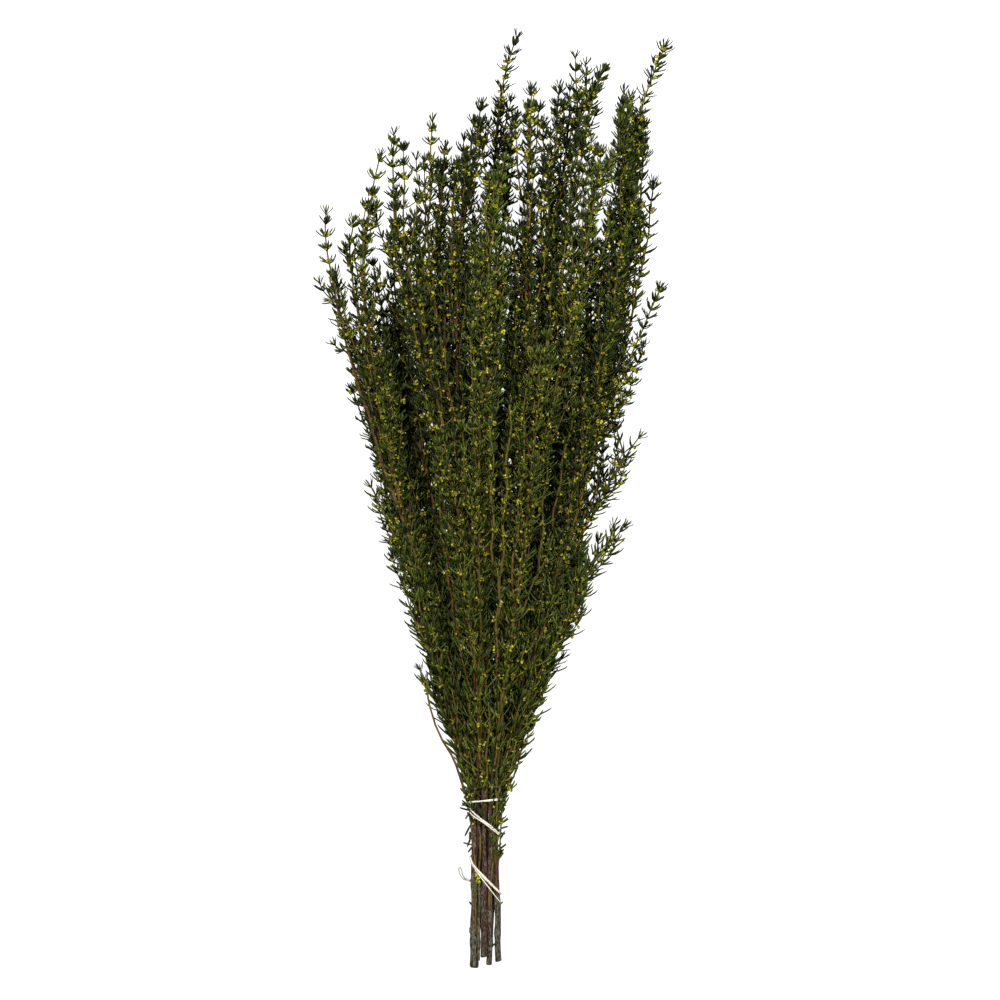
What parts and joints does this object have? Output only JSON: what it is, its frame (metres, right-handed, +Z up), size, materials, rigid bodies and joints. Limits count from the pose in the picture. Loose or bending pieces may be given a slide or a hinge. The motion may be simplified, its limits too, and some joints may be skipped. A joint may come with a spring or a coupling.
{
  "type": "preserved grubbia bunch",
  "caption": "Tied bunch of cut woody stems with needle leaves and small flower buds, lying on its side, for dried and preserved arrangements.",
  "frame": {"origin": "middle of the bunch on the surface it lies on", "axes": "+Y along the stems from the cut ends to the leaf tips, +Z up from the surface, +X to the right when seen from above with the tips away"},
  "size_m": [0.2665, 0.7009, 0.1109],
  "materials": {
    "bark": "matt grey-brown bark",
    "foliage": "soft dark green leaves with yellow-green buds",
    "elastic": "matt cream"
  },
  "bodies": {
    "root": {"spray_back_centre_1": "foliage", "spray_back_centre_2": "foliage", "spray_back_centre_3": "foliage", "spray_back_centre_4": "foliage", "spray_back_left_1": "foliage", "spray_back_left_2": "foliage", "spray_back_left_3": "foliage", "spray_back_left_4": "foliage", "spray_back_right_1": "foliage", "spray_back_right_2": "foliage", "spray_back_right_3": "foliage", "spray_back_right_4": "foliage", "spray_back_right_5": "foliage", "spray_back_right_6": "foliage", "spray_centre_1": "foliage", "spray_centre_2": "foliage", "spray_centre_3": "foliage", "spray_centre_4": "foliage", "spray_centre_5": "foliage", "spray_centre_6": "foliage", "spray_centre_7": "foliage", "spray_centre_8": "foliage", "spray_left_1": "foliage", "spray_left_2": "foliage", "spray_left_3": "foliage", "spray_left_4": "foliage", "spray_left_5": "foliage", "spray_left_6": "foliage", "spray_left_7": "foliage", "spray_middle_1": "foliage", "spray_middle_2": "foliage", "spray_middle_3": "foliage", "spray_middle_4": "foliage", "spray_middle_5": "foliage", "spray_middle_6": "foliage", "spray_middle_7": "foliage", "spray_right_1": "foliage", "spray_right_2": "foliage", "spray_right_3": "foliage", "spray_right_4": "foliage", "spray_right_5": "foliage", "spray_right_6": "foliage", "spray_right_7": "foliage", "spray_right_8": "foliage", "spray_thin_1": "foliage", "spray_thin_2": "foliage", "spray_thin_3": "foliage", "spray_thin_4": "foliage", "stem_back_centre": "bark", "stem_back_left": "bark", "stem_back_right": "bark", "stem_centre": "bark", "stem_left": "bark", "stem_middle": "bark", "stem_right": "bark", "stem_thin": "bark", "tie_band": "elastic"}
  },
  "joints": []
}
